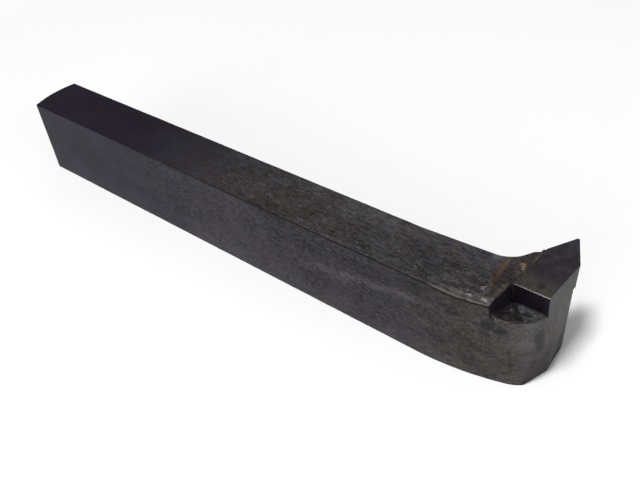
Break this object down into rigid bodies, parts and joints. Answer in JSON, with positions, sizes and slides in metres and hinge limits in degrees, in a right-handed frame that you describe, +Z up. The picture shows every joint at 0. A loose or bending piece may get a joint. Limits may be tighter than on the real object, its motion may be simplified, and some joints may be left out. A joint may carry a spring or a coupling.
{
  "type": "brazed threading tool",
  "caption": "Lathe threading tool: square-cut steel shank with a head bent to the left, and a brazed hard-metal plate with a ground V point on top of the head.",
  "frame": {"origin": "centre of the straight shank's base, on the face that lies on the tool post", "axes": "+X along the shank towards the head, +Y across the shank towards the V point, +Z up, square to the base"},
  "size_m": [0.119, 0.0198, 0.016],
  "materials": {
    "forged_steel": "black forge scale with fine pits and rubbed edges, brownish near the head",
    "hard_metal": "ground grey hard metal, smooth and slightly greenish, with faint heat tint",
    "braze": "copper-coloured brazing metal, dulled by flux and heat"
  },
  "bodies": {
    "root": {"holder": "forged_steel", "carbide_tip": "hard_metal", "braze_filler": "braze"}
  },
  "joints": []
}
